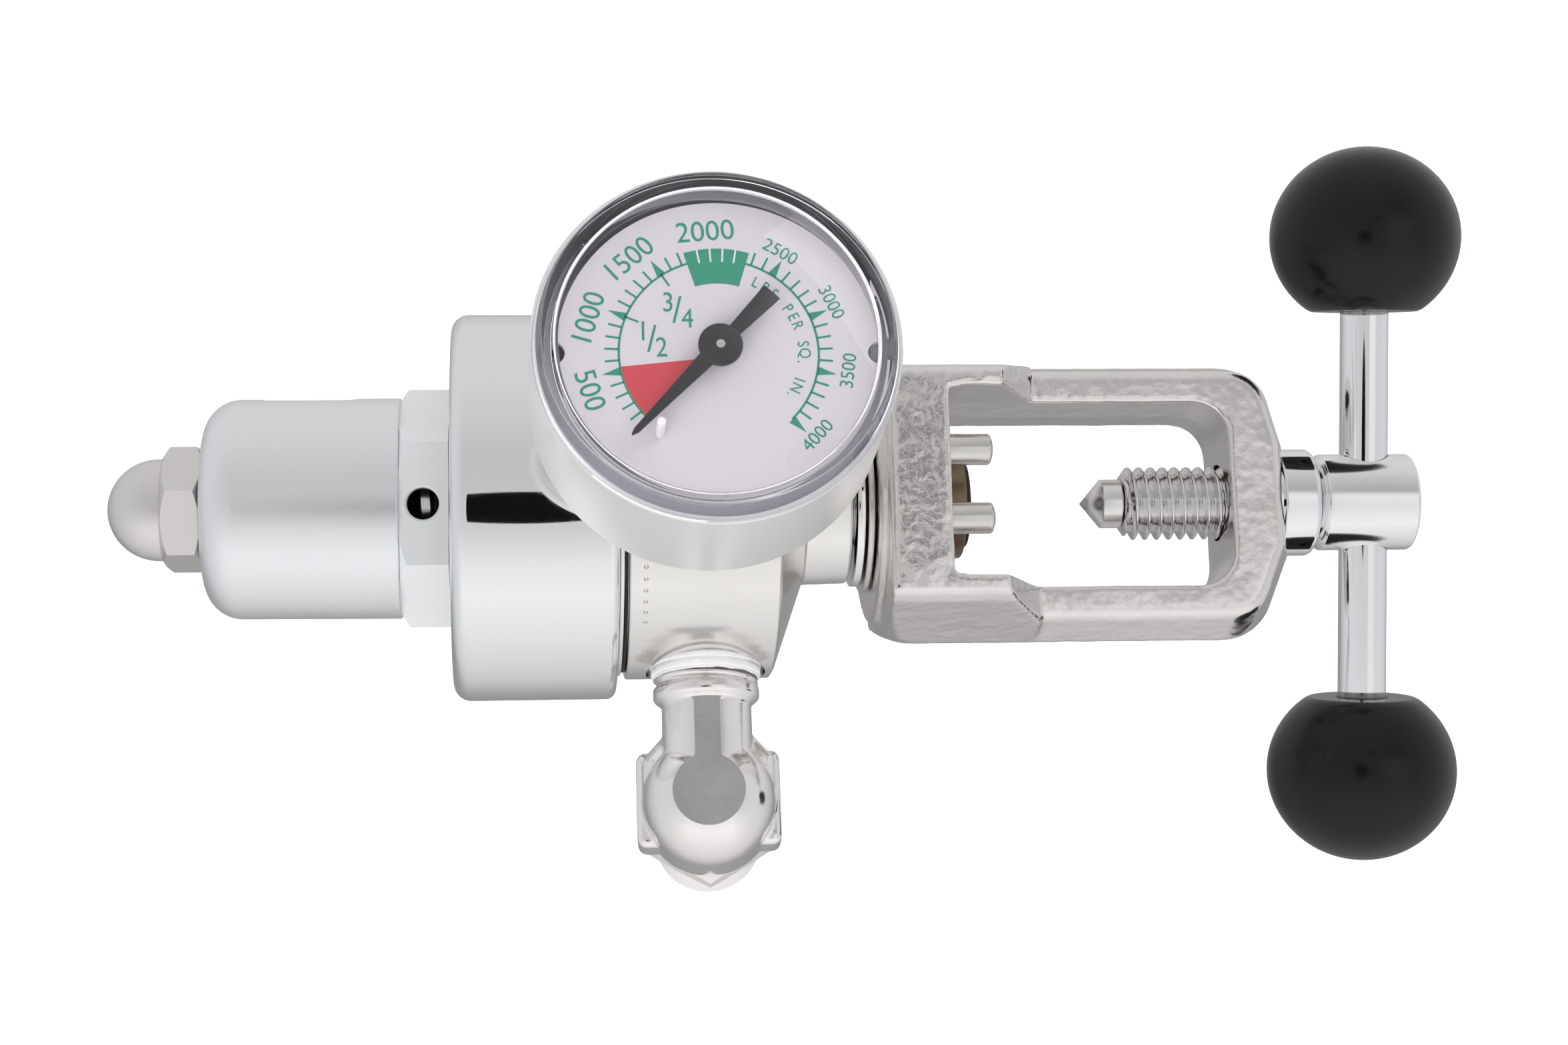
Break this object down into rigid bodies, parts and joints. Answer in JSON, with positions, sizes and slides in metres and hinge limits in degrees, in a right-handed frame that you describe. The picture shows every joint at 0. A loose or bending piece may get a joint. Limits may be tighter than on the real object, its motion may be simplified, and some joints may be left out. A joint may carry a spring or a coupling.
{
  "type": "oxygen pressure regulator",
  "caption": "Pin-index oxygen regulator: yoke with T-handle clamp screw, preset pressure body, round contents gauge and elbow outlet.",
  "frame": {"origin": "on the main axis, in the yoke's inner wall where a cylinder valve post seats", "axes": "+X along the main axis from the acorn nut to the T-handle, +Z the way the gauge looks, -Y the way the elbow leaves the body"},
  "size_m": [0.176, 0.093, 0.0918],
  "materials": {
    "acorn_nut": "satin nickel plate",
    "adjusting_screw": "plain machined",
    "spring_bonnet": "satin turned",
    "spring_button": "plain machined",
    "range_spring": "drawn wire",
    "diaphragm": "moulded, fabric reinforced",
    "union_ring": "mirror polished plate",
    "seam_ring": "satin",
    "dust_gasket": "matt",
    "regulator_body": "bright nickel plate on brass",
    "nozzle": "plain machined",
    "poppet_spring": "drawn wire",
    "inlet_filter": "sintered bronze",
    "inlet_nipple": "plain machined",
    "lock_washer": "bright plate",
    "thrust_washer": "bright plate",
    "yoke": "satin plate on a casting",
    "seal_ring": "dull bronze",
    "seal_rubber": "matt",
    "index_pin_upper": "ground",
    "index_pin_lower": "ground",
    "screw_bushing": "bright plate",
    "gauge_stem": "nickel plate",
    "gauge_case": "satin stainless",
    "gauge_lens": "clear moulded polycarbonate",
    "gauge_dial": "matt white print",
    "movement_plate": "plain stamped",
    "bourdon_tube": "drawn tube",
    "stop_pin": "white",
    "outlet_elbow": "bright nickel plate on a forging",
    "sealing_tape": "white thread tape",
    "outlet_fitting": "bright plate",
    "clamp_tip": "bright plate",
    "clamp_screw": "bright plate",
    "handle_hub": "bright plate",
    "t_bar": "bright plate",
    "ball_upper": "semi-gloss black phenolic",
    "ball_lower": "semi-gloss black phenolic",
    "sector_gear": "plain stamped",
    "gauge_pointer": "matt black",
    "pointer_arbor": "ground",
    "diaphragm_plate": "plain machined",
    "poppet": "ground"
  },
  "bodies": {
    "regulator": {"acorn_nut": "acorn_nut", "adjusting_screw": "adjusting_screw", "spring_bonnet": "spring_bonnet", "spring_button": "spring_button", "range_spring": "range_spring", "diaphragm": "diaphragm", "union_ring": "union_ring", "seam_ring": "seam_ring", "dust_gasket": "dust_gasket", "regulator_body": "regulator_body", "nozzle": "nozzle", "poppet_spring": "poppet_spring", "inlet_filter": "inlet_filter", "inlet_nipple": "inlet_nipple", "lock_washer": "lock_washer", "thrust_washer": "thrust_washer", "yoke": "yoke", "seal_ring": "seal_ring", "seal_rubber": "seal_rubber", "index_pin_upper": "index_pin_upper", "index_pin_lower": "index_pin_lower", "screw_bushing": "screw_bushing", "gauge_stem": "gauge_stem", "gauge_case": "gauge_case", "gauge_lens": "gauge_lens", "gauge_dial": "gauge_dial", "movement_plate": "movement_plate", "bourdon_tube": "bourdon_tube", "stop_pin": "stop_pin", "outlet_elbow": "outlet_elbow", "sealing_tape": "sealing_tape", "outlet_fitting": "outlet_fitting"},
    "swivel_tip": {"clamp_tip": "clamp_tip"},
    "clamp_handle": {"clamp_screw": "clamp_screw", "handle_hub": "handle_hub", "t_bar": "t_bar", "ball_upper": "ball_upper", "ball_lower": "ball_lower"},
    "sector": {"sector_gear": "sector_gear"},
    "gauge_hand": {"gauge_pointer": "gauge_pointer", "pointer_arbor": "pointer_arbor"},
    "valve": {"diaphragm_plate": "diaphragm_plate", "poppet": "poppet"}
  },
  "joints": [
    {"name": "clamp_travel", "type": "slide", "parent": "regulator", "child": "swivel_tip", "axis": [1, 0, 0], "range_m": [0, 0.017]},
    {"name": "clamp_turn", "type": "hinge", "parent": "swivel_tip", "child": "clamp_handle", "pos_m": [0.03, 0, 0], "axis": [1, 0, 0], "range_deg": [0, 3850]},
    {"name": "sector_turn", "type": "hinge", "parent": "regulator", "child": "sector", "pos_m": [-0.02643, 0.01052, 0.0503], "axis": [0, 0, 1], "range_deg": [0, 33.75]},
    {"name": "pointer_turn", "type": "hinge", "parent": "regulator", "child": "gauge_hand", "pos_m": [-0.0325, 0, 0.05765], "axis": [0, 0, 1], "range_deg": [-270, 0]},
    {"name": "valve_travel", "type": "slide", "parent": "regulator", "child": "valve", "axis": [1, 0, 0], "range_m": [-0.0006, 0], "stiffness_N_per_m": 5000, "springref_m": 0.001, "deforming": ["range_spring", "diaphragm", "poppet_spring"]}
  ],
  "couplings": [
    {"joint": "clamp_travel", "follows": "clamp_turn", "m_per_rad": 0.00025266},
    {"joint": "pointer_turn", "follows": "sector_turn", "ratio": -8}
  ]
}
